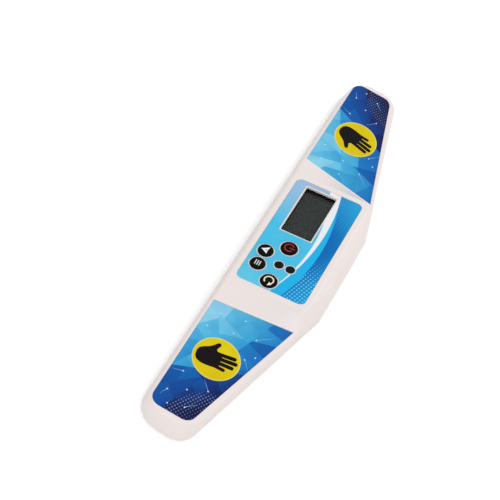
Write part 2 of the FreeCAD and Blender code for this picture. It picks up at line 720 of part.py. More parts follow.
# ---- circuit board and what is on it --------------------------------------------------------

boardLow = "-(boardDrop + boardThick)"
board = onConsole("main_board")
block(board, "boardSheet", boardLow, "-boardDrop", rect("-boardHalf", "boardFront", "boardHalf", "boardBack"))
roundEdges(board, "boardCorners", "1.5", upright)
pocket(board, "boardHoles", boardLow, "-boardDrop",
       spots=[(x, y, "1.1") for x, y in postSpots] + [(x, y, "0.7") for x, y in frameCorners])

chip = onConsole("controller_dome")
rods(chip, "dome", "(%s - 1.6)" % boardLow, boardLow, [("-10", "-12", "6")])
roundEdges(chip, "domeEdge", "1.2", lambda e: level(e, value("(%s - 1.6)" % boardLow)))
crystal = onConsole("crystal")
block(crystal, "crystalCan", "(%s - 3.5)" % boardLow, boardLow, rect("14.5", "-16", "25.5", "-11.4"))
roundEdges(crystal, "crystalEnds", "2", upright)

for key, radius in keys:
    x = key + "X"
    y = key + "Y"
    switch = onConsole(key + "_switch")
    block(switch, key + "SwitchBox", "-boardDrop", "-(boardDrop - 3.5)",
          rect("(%s - 3)" % x, "(%s - 3)" % y, "(%s + 3)" % x, "(%s + 3)" % y))
    roundEdges(switch, key + "SwitchEdges", "0.4", upright)
    for number, shift in enumerate(("- 2.25", "+ 2.25")):
        block(switch, key + "Legs%d" % number, "-boardDrop", "-(boardDrop - 0.3)",
              rect("(%s - 3.9)" % x, "(%s %s - 0.35)" % (y, shift), "(%s + 3.9)" % x, "(%s %s + 0.35)" % (y, shift)))
    pocket(switch, key + "SwitchBore", "-(boardDrop - 2.9 + keyTravel + 0.2)", "-(boardDrop - 3.5)",
           spots=[(x, y, "1.78")])
    plunger = onConsole(key + "_plunger")
    rods(plunger, key + "Plunger", "-(boardDrop - 2.9)", "-(wall + 1.2)", [(x, y, "1.7")])
    cap = onConsole(key + "_key")
    rods(cap, key + "Cap", "-(wall + 0.2)", "keyProud", [(x, y, radius)])
    roundEdges(cap, key + "Crown", "0.5", lambda e: level(e, value("keyProud")))
    rods(cap, key + "Flange", "-(wall + 0.9)", "-(wall + 0.1)", [(x, y, "(%s + 0.85)" % radius)])
    rods(cap, key + "Stem", "-(wall + 1.2)", "-(wall + 0.8)", [(x, y, "1.6")])

for lamp in lamps:
    x = lamp + "X"
    y = lamp + "Y"
    lens = onConsole(lamp + "_lens")
    rods(lens, lamp + "Lens", "-(wall + 0.2)", "-0.1", [(x, y, "lampRound")])
    roundEdges(lens, lamp + "LensRim", "0.3", lambda e: level(e, -0.1))
    rods(lens, lamp + "LensFlange", "-(wall + 0.8)", "-wall", [(x, y, "(lampRound + 0.7)")])
    light = onConsole(lamp + "_led")
    rods(light, lamp + "Dome", "-boardDrop", "-(wall + 1)", [(x, y, "1.5")])
    roundEdges(light, lamp + "DomeTop", "1.4", lambda e: level(e, value("-(wall + 1)")))
    rods(light, lamp + "Skirt", "-boardDrop", "-(boardDrop - 1)", [(x, y, "1.9")])

# ---- screws and feet ------------------------------------------------------------------------


def cross(x, y):
    """Corners of a cross recess."""
    arms = [(0.3, 1.1), (0.3, 0.3), (1.1, 0.3), (1.1, -0.3), (0.3, -0.3), (0.3, -1.1),
            (-0.3, -1.1), (-0.3, -0.3), (-1.1, -0.3), (-1.1, 0.3), (-0.3, 0.3), (-0.3, 1.1)]
    return [("(%s + %s)" % (x, dx), "(%s + %s)" % (y, dy)) for dx, dy in arms]


def screws(owner, seat, headHigh, headRound, shank, shankTop, spots):
    """Pan-head screws driven upwards, their heads hanging from the seat's height."""
    low = "(%s - %s)" % (seat, headHigh)
    rods(owner, owner.Label + "Heads", low, seat, [(x, y, headRound) for x, y in spots])
    roundEdges(owner, owner.Label + "HeadRims", "0.4", lambda e: level(e, value(low)))
    for number, (x, y) in enumerate(spots):
        pocket(owner, owner.Label + "Cross%d" % number, low + " - 0.5", low + " + 0.8", cross(x, y))
    rods(owner, owner.Label + "Shanks", "(%s - 0.1)" % seat, shankTop, [(x, y, shank) for x, y in spots])


caseScrews = body("case_screws")
screws(caseScrews, "(%s + 0.2)" % plateTop, "1.6", "2.3", "screwRound", "(%s + 6)" % bossLow, screwSpots)
boardScrews = onConsole("board_screws")
screws(boardScrews, boardLow, "1.2", "1.7", "0.8", "-(boardDrop - 4.2)", postSpots)

feet = []
for number, (x, y) in enumerate(footSpots):
    foot = body("foot_%d" % (number + 1))
    rods(foot, "footDisc%d" % number, "0", "(footDrop + 1)", [(x, y, "footRound")])
    roundEdges(foot, "footRim%d" % number, "0.5", lambda e: level(e, 0))
    feet.append(foot.Label)

# ---- check and write ------------------------------------------------------------------------

doc.recompute()
nodes = ["top_shell", "bottom_shell", "battery_cover", "front_cell", "back_cell",
         "bridge_contact", "positive_contact", "negative_contact", "positive_lead", "negative_lead",
         "console_overlay", "left_pad_overlay", "right_pad_overlay",
         "left_touch_plate", "right_touch_plate", "left_touch_lead", "right_touch_lead",
         "display_window", "lcd_frame", "lcd_front_glass", "lcd_rear_glass", "contact_strip",
         "main_board", "controller_dome", "crystal", "case_screws", "board_screws"] + feet
for key, radius in keys:
    nodes += [key + "_key", key + "_plunger", key + "_switch"]
for lamp in lamps:
    nodes += [lamp + "_lens", lamp + "_led"]

failed = [made.Name for made in doc.Objects if "Invalid" in made.State or "Error" in made.State]
pieces = {made.Label: made for made in doc.Objects if made.Label in nodes}
for label in nodes:
    shape = pieces[label].Shape
    if shape.isNull() or not shape.isValid():
        failed.append(label)
if failed:
    raise SystemExit("failed: %s" % ", ".join(failed))

os.makedirs("parts", exist_ok=True)
for label in nodes:
    pieces[label].Shape.exportStep("parts/%s.step" % label)
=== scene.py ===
import json
import math
import random
import bpy
from mathutils import Matrix, Vector


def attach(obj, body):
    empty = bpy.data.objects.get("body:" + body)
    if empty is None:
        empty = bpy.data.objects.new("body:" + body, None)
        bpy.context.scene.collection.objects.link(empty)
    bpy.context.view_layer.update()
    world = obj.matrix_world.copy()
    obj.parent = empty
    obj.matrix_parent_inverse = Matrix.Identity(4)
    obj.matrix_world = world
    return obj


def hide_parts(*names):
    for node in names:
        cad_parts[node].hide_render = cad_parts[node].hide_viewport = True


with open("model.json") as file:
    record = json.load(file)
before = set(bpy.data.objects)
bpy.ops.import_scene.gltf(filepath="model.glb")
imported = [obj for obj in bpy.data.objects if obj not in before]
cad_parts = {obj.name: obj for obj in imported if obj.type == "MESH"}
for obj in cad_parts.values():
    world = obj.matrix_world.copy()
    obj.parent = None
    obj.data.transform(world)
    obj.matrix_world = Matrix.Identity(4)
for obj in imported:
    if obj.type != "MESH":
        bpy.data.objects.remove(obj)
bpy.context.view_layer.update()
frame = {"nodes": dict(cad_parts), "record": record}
nodes = frame["nodes"]
mm = 0.001

# the two printed planes of the casing: height over the middle (mm), and tilt about X
wingPlane = {"height": 15.9, "tilt": math.radians(5.7)}
consolePlane = {"height": 22.84, "tilt": math.radians(14.5)}
filmTop = -0.2  # a print's face, in mm over its plane
keyTop = 0.6  # a key's face, in mm over the console's plane
dotEdge = 12  # how sharply a printed dot ends
smoothUnder = 28  # degrees between faces that still look smooth


def planeMatrix(plane):
    return Matrix.Translation((0, 0, plane["height"] * mm)) @ Matrix.Rotation(plane["tilt"], 4, "X")


def pickOnly(thing):
    bpy.ops.object.select_all(action="DESELECT")
    thing.select_set(True)
    bpy.context.view_layer.objects.active = thing


def startPicking(thing, kind):  # nothing picked in the mesh, ready to pick faces or edges
    pickOnly(thing)
    bpy.ops.object.mode_set(mode="EDIT")
    bpy.ops.mesh.select_mode(type=kind)
    bpy.ops.mesh.select_all(action="DESELECT")
    bpy.ops.object.mode_set(mode="OBJECT")


def settle(thing):  # the place goes into the mesh
    pickOnly(thing)
    bpy.ops.object.transform_apply(location=True, rotation=True, scale=True)


def layOn(thing, plane):  # from flat, in the plane's own millimetres, to its place on the casing
    bpy.context.view_layer.update()
    thing.matrix_world = planeMatrix(plane) @ thing.matrix_world
    settle(thing)


def joinAll(things, name):
    pickOnly(things[0])
    if len(things) > 1:
        for thing in things[1:]:
            thing.select_set(True)
        bpy.ops.object.join()
    things[0].name = name
    return things[0]


def weld(base, others):  # boolean union, one tool after another
    for other in others:
        pickOnly(base)
        union = base.modifiers.new("weld", "BOOLEAN")
        union.operation = "UNION"
        union.solver = "EXACT"
        union.object = other
        bpy.ops.object.modifier_apply(modifier=union.name)
        bpy.data.objects.remove(other)
    return base


def paint(red, green, blue):  # screen values 0-255 to the shader's own
    def straight(part):
        part = part / 255
        return part / 12.92 if part <= 0.04045 else ((part + 0.055) / 1.055) ** 2.4
    return (straight(red), straight(green), straight(blue), 1)


def startFinish(name):
    finish = bpy.data.materials.new(name)
    finish.use_nodes = True
    tree = finish.node_tree
    tree.nodes.clear()
    shader = tree.nodes.new("ShaderNodeBsdfPrincipled")
    out = tree.nodes.new("ShaderNodeOutputMaterial")
    tree.links.new(shader.outputs["BSDF"], out.inputs["Surface"])
    return finish, tree, shader


def planeSpot(tree, plane, turn=0, grow=1):  # object coordinates as the millimetres of a print's plane
    spot = tree.nodes.new("ShaderNodeTexCoord").outputs["Object"]
    lay = tree.nodes.new("ShaderNodeMapping")
    back = planeMatrix(plane).inverted()
    lay.inputs["Location"].default_value = back.translation / mm
    lay.inputs["Rotation"].default_value = back.to_euler()
    lay.inputs["Scale"].default_value = (1 / mm, 1 / mm, 1 / mm)
    tree.links.new(spot, lay.inputs["Vector"])
    if turn == 0 and grow == 1:
        return lay.outputs["Vector"]
    twist = tree.nodes.new("ShaderNodeMapping")
    twist.inputs["Rotation"].default_value = (0, 0, turn)
    twist.inputs["Scale"].default_value = (grow, grow, grow)
    tree.links.new(lay.outputs["Vector"], twist.inputs["Vector"])
    return twist.outputs["Vector"]


def cloud(tree, spot, size, detail=2):
    noise = tree.nodes.new("ShaderNodeTexNoise")
    noise.inputs["Scale"].default_value = size
    noise.inputs["Detail"].default_value = detail
    tree.links.new(spot, noise.inputs["Vector"])
    return noise.outputs["Fac"]


def spread(tree, value, low, high, start=0.3, end=0.7):  # low at the start, high at the end
    ramp = tree.nodes.new("ShaderNodeMapRange")
    ramp.inputs["From Min"].default_value = start
    ramp.inputs["From Max"].default_value = end
    ramp.inputs["To Min"].default_value = low
    ramp.inputs["To Max"].default_value = high
    tree.links.new(value, ramp.inputs["Value"])
    return ramp.outputs["Result"]


def sums(tree, kind, first, second=0.0, clamp=False):
    node = tree.nodes.new("ShaderNodeMath")
    node.operation = kind
    node.use_clamp = clamp
    for socket, value in zip(node.inputs, (first, second)):
        if isinstance(value, (int, float)):
            socket.default_value = value
        else:
            tree.links.new(value, socket)
    return node.outputs["Value"]


def over(tree, amount, under, top):  # two colours, or colour sockets, mixed by an amount
    mix = tree.nodes.new("ShaderNodeMix")
    mix.data_type = "RGBA"
    for socket, value in ((mix.inputs[0], amount), (mix.inputs[6], under), (mix.inputs[7], top)):
        if isinstance(value, (tuple, float, int)):
            socket.default_value = value
        else:
            tree.links.new(value, socket)
    return mix.outputs[2]


def farFrom(tree, spot, x, y):  # distance from a point, seen square to the plane
    gap = tree.nodes.new("ShaderNodeVectorMath")
    gap.operation = "MULTIPLY_ADD"
    gap.inputs[1].default_value = (1, 1, 0)
    gap.inputs[2].default_value = (-x, -y, 0)
    tree.links.new(spot, gap.inputs[0])
    reach = tree.nodes.new("ShaderNodeVectorMath")
    reach.operation = "LENGTH"
    tree.links.new(gap.outputs["Vector"], reach.inputs[0])
    return reach.outputs["Value"]


def softStep(tree, value, edge, sharp):  # 0 up to the edge and 1 soon after it
    return sums(tree, "MULTIPLY", sums(tree, "SUBTRACT", value, edge), sharp, clamp=True)


def roundDots(tree, spot, size):  # 1 inside a dot of that radius in each unit square
    cell = tree.nodes.new("ShaderNodeVectorMath")
    cell.operation = "FRACTION"
    tree.links.new(spot, cell.inputs[0])
    return softStep(tree, size, farFrom(tree, cell.outputs["Vector"], 0.5, 0.5), dotEdge)


def grain(tree, shader, spot, size, strength, depth=0.02):
    bump = tree.nodes.new("ShaderNodeBump")
    bump.inputs["Strength"].default_value = strength
    bump.inputs["Distance"].default_value = depth * mm
    tree.links.new(cloud(tree, spot, size, 3), bump.inputs["Height"])
    tree.links.new(bump.outputs["Normal"], shader.inputs["Normal"])


def wear(thing, *finishes):
    thing.data.materials.clear()
    for finish in finishes:
        thing.data.materials.append(finish)


# what a look has unless it says otherwise, and the shader's socket for each
plainLook = {"metal": 0, "coat": 0, "coatRough": 0.12, "sheen": 0.5, "clear": 0, "solid": 1}
lookSockets = {"metal": "Metallic", "coat": "Coat Weight", "coatRough": "Coat Roughness",
               "sheen": "Specular IOR Level", "clear": "Transmission Weight", "solid": "Alpha"}


def solidFinish(name, look):
    look = {**plainLook, **look}
    finish, tree, shader = startFinish(name)
    spot = tree.nodes.new("ShaderNodeTexCoord").outputs["Object"]
    patches = spread(tree, cloud(tree, spot, look["patch"], 3), 0, 1)
    tree.links.new(over(tree, patches, look["colour"], look["shade"]), shader.inputs["Base Color"])
    wiped = cloud(tree, spot, look["patch"] * 6, 5)
    tree.links.new(spread(tree, wiped, *look["rough"]), shader.inputs["Roughness"])
    grain(tree, shader, spot, look["grain"], look["bump"])
    for key, socket in lookSockets.items():
        shader.inputs[socket].default_value = look[key]
    return finish


wireLook = {"patch": 120, "rough": (0.42, 0.52), "grain": 1500, "bump": 0.1}
lensLook = {"patch": 90, "rough": (0.1, 0.16), "grain": 900, "bump": 0.03, "sheen": 0.12}
lampLook = {"patch": 200, "rough": (0.08, 0.14), "grain": 900, "bump": 0.02, "clear": 0.5}

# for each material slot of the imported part: its finish's name and look
slotLooks = {
    "casing": ("casingWhite", {
        "colour": paint(240, 230, 227), "shade": paint(238, 227, 224), "patch": 22,
        "rough": (0.29, 0.33), "grain": 260, "bump": 0.05, "sheen": 0.45}),
    "base": ("baseWhite", {
        "colour": paint(226, 219, 217), "shade": paint(220, 213, 211), "patch": 18,
        "rough": (0.5, 0.62), "grain": 1400, "bump": 0.2}),
    "cell_wrap": ("cellWrap", {
        "colour": paint(38, 42, 52), "shade": paint(30, 34, 44), "patch": 40,
        "rough": (0.29, 0.36), "grain": 900, "bump": 0.05, "metal": 0.3}),
    "spring_steel": ("contactPlating", {
        "colour": paint(196, 194, 188), "shade": paint(176, 174, 170), "patch": 160,
        "rough": (0.29, 0.38), "grain": 3000, "bump": 0.12, "metal": 1}),
    "touch_foil": ("touchFoil", {
        "colour": paint(205, 140, 92), "shade": paint(184, 118, 76), "patch": 90,
        "rough": (0.28, 0.42), "grain": 1800, "bump": 0.12, "metal": 1}),
    "red_lead": ("redWire", {**wireLook, "colour": paint(176, 34, 28), "shade": paint(160, 28, 24)}),
    "black_lead": ("blackWire", {**wireLook, "colour": paint(30, 30, 31), "shade": paint(22, 22, 23)}),
    "dark_plastic": ("darkPlastic", {
        "colour": paint(26, 26, 27), "shade": paint(20, 20, 21), "patch": 80,
        "rough": (0.42, 0.55), "grain": 2400, "bump": 0.25}),
    "board_green": ("solderMask", {
        "colour": paint(22, 98, 52), "shade": paint(17, 84, 44), "patch": 110,
        "rough": (0.3, 0.42), "grain": 1700, "bump": 0.15, "coat": 0.3}),
    "elastomer": ("stripRubber", {
        "colour": paint(186, 184, 176), "shade": paint(120, 120, 118), "patch": 700,
        "rough": (0.5, 0.6), "grain": 2000, "bump": 0.2}),
    "screw_steel": ("screwPlating", {
        "colour": paint(150, 150, 152), "shade": paint(128, 128, 130), "patch": 300,
        "rough": (0.28, 0.4), "grain": 2600, "bump": 0.15, "metal": 1}),
    "key_black": ("keyGloss", {
        "colour": paint(5, 4, 5), "shade": paint(9, 8, 9), "patch": 60,
        "rough": (0.19, 0.25), "grain": 900, "bump": 0.05, "sheen": 0.07}),
    "lamp_lens": ("runLens", {**lensLook, "colour": paint(9, 13, 11), "shade": paint(6, 10, 8)}),
    "ready_light": ("redLamp", {**lampLook, "colour": paint(190, 40, 34), "shade": paint(176, 34, 30)}),
    "run_light": ("greenLamp", {**lampLook, "colour": paint(46, 170, 82), "shade": paint(40, 156, 74)}),
    "foot_rubber": ("footRubber", {
        "colour": paint(44, 44, 45), "shade": paint(36, 36, 37), "patch": 60,
        "rough": (0.62, 0.76), "grain": 2200, "bump": 0.4}),
    "display_glass": ("displayGlass", {
        "colour": paint(46, 51, 50), "shade": paint(42, 47, 46), "patch": 30,
        "rough": (0.3, 0.36), "grain": 60, "bump": 0.01, "sheen": 0.15}),
    "clear_window": ("clearWindow", {
        "colour": paint(12, 14, 14), "shade": paint(9, 11, 11), "patch": 30,
        "rough": (0.1, 0.14), "grain": 40, "bump": 0.004, "sheen": 1, "solid": 0.03})}
readyLensLook = {**lensLook, "colour": paint(17, 7, 8), "shade": paint(13, 5, 6)}

finishes = {slot: solidFinish(name, look) for slot, (name, look) in slotLooks.items()}
for part in frame["record"]["subparts"]:
    if part["material_slot"] in finishes:
        wear(nodes[part["node"]], finishes[part["material_slot"]])
wear(nodes["ready_lens"], solidFinish("readyLens", readyLensLook))
for node in nodes.values():
    pickOnly(node)
    bpy.ops.object.shade_smooth_by_angle(angle=math.radians(smoothUnder))
print("casing, base and inner pieces finished")

# the gloss that the printed films share, with sizes in the plane's millimetres
printGloss = {"patch": 0.4, "rough": (0.29, 0.35), "sheen": 0.1, "grain": 0.6, "bump": 0.05, "depth": 0.01}


def printFinish(tree, shader, spot, colour):
    tree.links.new(colour, shader.inputs["Base Color"])
    wiped = cloud(tree, spot, printGloss["patch"], 4)
    tree.links.new(spread(tree, wiped, *printGloss["rough"]), shader.inputs["Roughness"])
    shader.inputs["Specular IOR Level"].default_value = printGloss["sheen"]
    grain(tree, shader, spot, printGloss["grain"], printGloss["bump"], printGloss["depth"])


# pad prints, in the right pad's plane millimetres; the left one is mirrored and has its own seed
padSplit = (112, -27, 95, 9)  # from point to point: the long cut that parts a pad's outer end from the rest
padPrint = {
    "seeds": {"right": 7, "left": 19}, "mergeGap": 0.002, "flatAngle": 0.6,
    "cuts": ((66, -27, 80, 14), (57, -1, 112, -27), (57, 8, 138, -19), (84, -27, 69, 15), (101, -27, 117, 3),
             padSplit, (119, -27, 138, -9), (88, 12, 126, -27)),
    "facets": 18, "cutJitter": 0.6, "cutShift": 0.12,
    # tones from light to dark, and how they run over each part: at its start, per mm across and back
    "tones": (paint(142, 213, 241), paint(106, 202, 236), paint(58, 168, 218), paint(26, 126, 198),
              paint(13, 100, 178), paint(14, 74, 156), paint(9, 34, 98), paint(8, 18, 66)),
    "from": (60, -27), "inner": (-0.09, 0.007, 0.0135), "outer": (0.2, 0.0075, 0.009),
    "corner": (56, 22), "cornerSlope": 0.62, "cornerDark": 0.12,
    "toneJitter": 0.12, "bleed": 0.5,
    "cloud": paint(20, 60, 140), "cloudSize": 0.09, "cloudDepth": 0.18,
    # the dotted zone at the outer back corner; the runs are low, high, start, end
    "dotMiddle": (142, 9.5), "dotReach": 28.5, "dusk": (0, 0.55, -3, 7),
    "dotColour": paint(158, 180, 232), "dotPitch": 1.75, "dotTurn": 0.5,
    "dotBirth": (0, 1, -2, 2.5), "dotSize": (0.31, 0.13, 3, 17), "dotStrength": (0.3, 0.45, -1, 1)}


# a CAD skin is loose triangles: the copy is joined up and its flat faces are made whole
def mergedCopy(node, name):
    piece = node.copy()
    piece.data = node.data.copy()
    piece.name = name
    piece.parent = None
    for tag in list(piece.keys()):
        del piece[tag]
    bpy.context.scene.collection.objects.link(piece)
    pickOnly(piece)
    bpy.ops.object.mode_set(mode="EDIT")
    bpy.ops.mesh.select_all(action="SELECT")
    bpy.ops.mesh.remove_doubles(threshold=padPrint["mergeGap"] * mm)
    bpy.ops.mesh.dissolve_limited(angle_limit=math.radians(padPrint["flatAngle"]))
    bpy.ops.mesh.customdata_custom_splitnormals_clear()
    bpy.ops.object.mode_set(mode="OBJECT")
    return piece


def cutFacets(piece, way, rng):  # long cuts right across, then one through the largest facet, again and again
    skin = piece.data
    lay = planeMatrix(wingPlane)
    up = lay.to_3x3() @ Vector((0, 0, 1))
    jitter, shift = padPrint["cutJitter"], padPrint["cutShift"]
    bpy.ops.object.mode_set(mode="EDIT")
    bpy.ops.mesh.select_mode(type="FACE")
    for x0, y0, x1, y1 in padPrint["cuts"]:
        start, end = (lay @ Vector((way * x * mm, y * mm, 0)) for x, y in ((x0, y0), (x1, y1)))
        bpy.ops.mesh.select_all(action="SELECT")
        bpy.ops.mesh.bisect(plane_co=start, plane_no=(end - start).cross(up).normalized())
    for facet in range(padPrint["facets"]):
        bpy.ops.mesh.select_all(action="DESELECT")
        bpy.ops.object.mode_set(mode="OBJECT")
        level = [face for face in skin.polygons if face.normal.dot(up) > 0.99]
        target = max(level, key=lambda face: face.area)
        corners = [skin.vertices[i].co for i in target.vertices]
        reach = max(((a - b) for a in corners for b in corners), key=lambda gap: gap.length).normalized()
        swing = Matrix.Rotation(rng.uniform(-jitter, jitter), 3, up)
        middle = target.center + reach * rng.uniform(-shift, shift) * math.sqrt(target.area)
        target.select = True
        bpy.ops.object.mode_set(mode="EDIT")
        bpy.ops.mesh.bisect(plane_co=middle, plane_no=swing @ reach)
    bpy.ops.object.mode_set(mode="OBJECT")


def toneAt(amount):
    tones = padPrint["tones"]
    place = min(max(amount, 0), 0.999) * (len(tones) - 1)
    low = int(place)
    return tuple(a + (b - a) * (place - low) for a, b in zip(tones[low], tones[low + 1]))


def outerPart(spot):  # beyond the cut that parts a pad's outer end
    x0, y0, x1, y1 = padSplit
    return abs(spot.x) / mm - x0 + (x0 - x1) / (y1 - y0) * (spot.y / mm - y0) > 0


def depthAt(spot, outer):  # light at the inner front corner of a pad, dark at the outer back one
    across = abs(spot.x) / mm - padPrint["from"][0]
    back = spot.y / mm - padPrint["from"][1]
    start, perAcross, perBack = padPrint["outer" if outer else "inner"]
    depth = start + perAcross * across + perBack * back
    if outer:
        cornerX, cornerY = padPrint["corner"]
        inCorner = padPrint["cornerSlope"] * (across - cornerX) + back - cornerY > 0
        depth += padPrint["cornerDark"] * inCorner
    return depth


def paintFacets(piece, rng):  # a tone for each facet, run a little from corner to corner
    tones = piece.data.color_attributes.new(name="facetTone", type="FLOAT_COLOR", domain="CORNER")
    for face in piece.data.polygons:
        outer = outerPart(face.center)
        middle = depthAt(face.center, outer)
        amount = middle + rng.uniform(-1, 1) * padPrint["toneJitter"]
        for loop in face.loop_indices:
            corner = piece.data.vertices[piece.data.loops[loop].vertex_index].co
            run = (depthAt(corner, outer) - middle) * padPrint["bleed"]
            tones.data[loop].color = toneAt(amount + run)


def padFinish():
    finish, tree, shader = startFinish("padPrintFilm")
    tone = tree.nodes.new("ShaderNodeAttribute")
    tone.attribute_name = "facetTone"
    spot = planeSpot(tree, wingPlane)
    parts = tree.nodes.new("ShaderNodeSeparateXYZ")
    tree.links.new(spot, parts.inputs["Vector"])
    x, y = padPrint["dotMiddle"]
    reach = sums(tree, "MINIMUM", farFrom(tree, spot, x, y), farFrom(tree, spot, -x, y))
    zone = sums(tree, "SUBTRACT", padPrint["dotReach"], reach)
    shade = spread(tree, cloud(tree, spot, padPrint["cloudSize"]), 0, padPrint["cloudDepth"])
    shaded = over(tree, shade, tone.outputs["Color"], padPrint["cloud"])
    shaded = over(tree, spread(tree, zone, *padPrint["dusk"]), shaded, padPrint["tones"][-1])
    birth, shrink = spread(tree, zone, *padPrint["dotBirth"]), spread(tree, zone, *padPrint["dotSize"])
    size = sums(tree, "MULTIPLY", birth, shrink)
    dots = roundDots(tree, planeSpot(tree, wingPlane, padPrint["dotTurn"], 1 / padPrint["dotPitch"]), size)
    strength = spread(tree, parts.outputs["X"], *padPrint["dotStrength"])  # fainter on the left pad
    printed = over(tree, sums(tree, "MULTIPLY", dots, strength), shaded, padPrint["dotColour"])
    printFinish(tree, shader, spot, printed)
    return finish


padFilm = padFinish()
for side, way in (("right", 1), ("left", -1)):
    rng = random.Random(padPrint["seeds"][side])
    film = mergedCopy(nodes[side + "_pad_overlay"], side + "_pad_print")
    cutFacets(film, way, rng)
    bpy.ops.object.shade_flat()
    paintFacets(film, rng)
    wear(film, padFilm)
    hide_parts(side + "_pad_overlay")
    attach(film, "case")
print("pad prints cut into facets")

# hand signs: a yellow disc with a rim, and a hand whose fingers are x, y, width, length and lean
signLook = {"patch": 60, "rough": (0.29, 0.35), "grain": 500, "bump": 0.04, "sheen": 0.1}
handSign = {
    "x": 95.1, "y": -8.5, "disc": 13.5, "rim": 0.55, "thick": 0.04, "lean": 0.2, "sunk": 0.01, "ink": 0.03,
    "under": 0.02, "sides": 96, "stagger": 0.001,
    "palm": ((-4.9, -8.7), (-3.0, -10.9), (0.2, -11.6), (3.3, -10.9), (5.1, -8.4), (5.7, -4.5), (5.6, -0.6),
             (5.2, 1.8), (0.8, 2.4), (-4.4, 1.9), (-4.8, -0.5), (-5.8, -1.1), (-7.6, -0.3), (-9.4, 0.3),
             (-10.3, -0.5), (-9.9, -1.7), (-8.4, -3.2), (-6.8, -5.0), (-5.7, -7.0)),
    "fingers": ((-3.35, -0.4, 2.35, 11.0, 0.03), (-0.7, -0.4, 2.4, 12.3, 0.005),
                (1.95, -0.4, 2.35, 10.9, -0.045), (4.4, -0.6, 2.1, 7.0, -0.15)),
    "yellow": {**signLook, "colour": paint(226, 204, 8), "shade": paint(216, 190, 8)},
    "edge": {**signLook, "colour": paint(232, 222, 120), "shade": paint(222, 212, 108)},
    "black": {**signLook, "colour": paint(20, 9, 14), "shade": paint(14, 6, 10), "patch": 70,
              "rough": (0.29, 0.36), "sheen": 0.08}}
discFinish = solidFinish("signYellow", handSign["yellow"])
rimFinish = solidFinish("signRim", handSign["edge"])
handFinish = solidFinish("signInk", handSign["black"])


def flatBar(x, y, wide, long, turn, low, high):  # a bar with round ends, its root at x, y
    bpy.ops.mesh.primitive_cube_add(size=1)
    bar = bpy.context.object
    bar.scale = (wide * mm, long * mm, (high - low) * mm)
    settle(bar)
    startPicking(bar, "EDGE")
    for edge in bar.data.edges:
        a, b = (bar.data.vertices[i].co for i in edge.vertices)
        edge.select = abs(a.z - b.z) > 0.001 * mm
    bpy.ops.object.mode_set(mode="EDIT")
    bpy.ops.mesh.bevel(offset=wide * 0.49 * mm, segments=7)  # just under half the width
    bpy.ops.object.mode_set(mode="OBJECT")
    root = Matrix.Translation((x * mm, y * mm, (low + high) / 2 * mm)) @ Matrix.Rotation(turn, 4, "Z")
    bar.matrix_world = root @ Matrix.Translation((0, long / 2 * mm, 0))
    settle(bar)
    return bar


def disc(x, y, radius, low, high, sides):
    bpy.ops.mesh.primitive_cylinder_add(vertices=sides, radius=radius * mm, depth=(high - low) * mm,
                                        location=(x * mm, y * mm, (low + high) / 2 * mm))
    made = bpy.context.object
    settle(made)
    return made


# a closed outline, filled and given a thickness
def flatShape(outline, x, y, mirror, low, high, smooth=True):
    line = bpy.data.curves.new("shape", "CURVE")
    line.dimensions = "2D"
    line.fill_mode = "BOTH"
    line.extrude = (high - low) / 2 * mm
    line.resolution_u = 5 if smooth else 1
    run = line.splines.new("BEZIER")
    run.bezier_points.add(len(outline) - 1)
    for knot, (across, back) in zip(run.bezier_points, outline):
        knot.co = (mirror * across * mm, back * mm, 0)
        knot.handle_left_type = knot.handle_right_type = "AUTO" if smooth else "VECTOR"
    run.use_cyclic_u = True
    made = bpy.data.objects.new("shape", line)
    bpy.context.scene.collection.objects.link(made)
    pickOnly(made)
    bpy.ops.object.convert(target="MESH")
    made = bpy.context.object
    bpy.ops.object.mode_set(mode="EDIT")
    bpy.ops.mesh.select_all(action="SELECT")
    bpy.ops.mesh.remove_doubles(threshold=0.001 * mm)
    bpy.ops.mesh.normals_make_consistent(inside=False)
    bpy.ops.object.mode_set(mode="OBJECT")
    made.location = (x * mm, y * mm, (low + high) / 2 * mm)
    settle(made)
    return made


def signDisc(side, x, y):  # its top face is inset, and the rim round it has a finish of its own
    top = filmTop + handSign["thick"]
    plate = disc(x, y, handSign["disc"], filmTop - handSign["under"], top, handSign["sides"])
    plate.name = side + "_sign_disc"
    wear(plate, discFinish, rimFinish)
    startPicking(plate, "FACE")
    max(plate.data.polygons, key=lambda face: face.center.z).select = True
    bpy.ops.object.mode_set(mode="EDIT")
    bpy.ops.mesh.inset(thickness=handSign["rim"] * mm, use_outset=False)
    bpy.ops.object.mode_set(mode="OBJECT")
    for face in plate.data.polygons:
        inner = (face.center.xy - Vector((x * mm, y * mm))).length < 1 * mm
        face.material_index = 0 if inner and face.normal.z > 0.5 else 1
    return plate


def signHand(side, x, y, way):
    low = filmTop + handSign["thick"] - handSign["sunk"]
    high = filmTop + handSign["thick"] + handSign["ink"]
    palm = flatShape(handSign["palm"], 0, 0, way, low, high)
    fingers = []
    for number, (across, back, wide, long, turn) in enumerate(handSign["fingers"]):
        step = handSign["stagger"] * (number + 2)  # keeps the faces of the welded parts out of one plane
        fingers.append(flatBar(way * across, back, wide, long, way * turn, low - step, high + step))
    hand = weld(palm, fingers)
    hand.matrix_world = (Matrix.Translation((x * mm, y * mm, 0))
                         @ Matrix.Rotation(way * handSign["lean"], 4, "Z"))
    settle(hand)
    hand.name = side + "_sign_hand"
    wear(hand, handFinish)
    return hand


for side, way in (("right", 1), ("left", -1)):
    x, y = way * handSign["x"], handSign["y"]
    for piece in (signDisc(side, x, y), signHand(side, x, y, way)):
        layOn(piece, wingPlane)
        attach(piece, "case")
print("hand signs laid")

